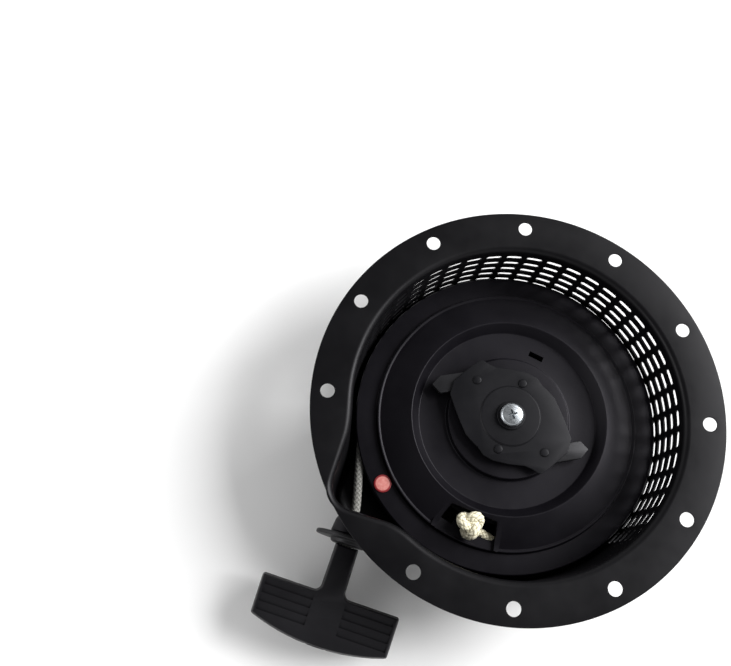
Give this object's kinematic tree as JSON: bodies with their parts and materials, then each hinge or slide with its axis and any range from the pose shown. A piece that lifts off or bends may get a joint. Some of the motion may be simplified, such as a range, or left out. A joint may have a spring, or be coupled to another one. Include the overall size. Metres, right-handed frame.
{
  "type": "recoil starter",
  "caption": "Pull-rope recoil starter for a small engine: vented drum housing with bolting flange, rope reel with pawls, and T-handle.",
  "frame": {"origin": "centre of the outer flat face of the drum's closed end, which the part stands on", "axes": "+Z along the crankshaft axis towards the engine; -Y is the direction in which the rope leaves the reel"},
  "size_m": [0.2743, 0.2749, 0.068],
  "materials": {
    "black_paint": "satin black paint on pressed sheet steel",
    "black_plastic": "moulded black nylon, fine texture",
    "handle_plastic": "moulded black plastic with fine grain",
    "black_rubber": "matte moulded rubber",
    "dark_steel": "black-oxide pressed steel",
    "zinc": "bright zinc plating",
    "bright_steel": "plain turned and pressed steel",
    "spring_steel": "oiled blue-grey spring steel",
    "bronze": "sintered bronze",
    "rope": "braided cream polyester rope",
    "red_label": "glossy red vinyl dot"
  },
  "bodies": {
    "housing": {"housing": "black_paint", "spring_cup": "bright_steel", "recoil_spring": "spring_steel", "centre_post": "zinc", "centre_screw": "zinc", "screw_washer": "dark_steel", "rope_guide": "black_plastic", "stop_washer": "black_rubber", "thrust_washer": "bright_steel"},
    "reel": {"reel": "black_plastic", "reel_hub": "black_plastic", "reel_bushing": "bronze", "rope_coil": "rope", "reel_knot": "rope", "dot_label": "red_label", "pawl_pin_a": "bright_steel", "pawl_pin_b": "bright_steel", "pawl_spring_a": "spring_steel", "pawl_spring_b": "spring_steel", "friction_spring": "spring_steel"},
    "friction_plate": {"friction_plate": "dark_steel"},
    "pawl_a": {"pawl_a": "dark_steel"},
    "pawl_b": {"pawl_b": "dark_steel"},
    "handle": {"handle": "handle_plastic", "handle_insert": "zinc", "handle_knot": "rope", "handle_cap": "handle_plastic", "rope_run": "rope"}
  },
  "joints": [
    {"name": "handle_pull", "type": "slide", "parent": "housing", "child": "handle", "axis": [-0.2368, -0.9715, 0], "range_m": [0, 0.9], "stiffness_N_per_m": 12, "springref_m": -0.5, "deforming": ["rope_run"]},
    {"name": "reel_spin", "type": "hinge", "parent": "housing", "child": "reel", "pos_m": [0, 0, 0.022], "axis": [0, 0, 1], "range_deg": [0, 570]},
    {"name": "friction_plate_turn", "type": "hinge", "parent": "reel", "child": "friction_plate", "pos_m": [0, 0, 0.04], "axis": [0, 0, 1], "range_deg": [-25, 0], "stiffness_Nm_per_rad": 0.05, "springref_deg": 11.46},
    {"name": "pawl_a_swing", "type": "hinge", "parent": "reel", "child": "pawl_a", "pos_m": [-0.02114, 0.02267, 0.0372], "axis": [0, 0, 1], "range_deg": [-22.5, 0]},
    {"name": "pawl_b_swing", "type": "hinge", "parent": "reel", "child": "pawl_b", "pos_m": [0.02114, -0.02267, 0.0372], "axis": [0, 0, 1], "range_deg": [-22.5, 0]}
  ],
  "couplings": [
    {"joint": "reel_spin", "follows": "handle_pull", "rad_per_m": 10.989},
    {"joint": "pawl_a_swing", "follows": "friction_plate_turn", "ratio": 0.88},
    {"joint": "pawl_b_swing", "follows": "friction_plate_turn", "ratio": 0.88}
  ]
}
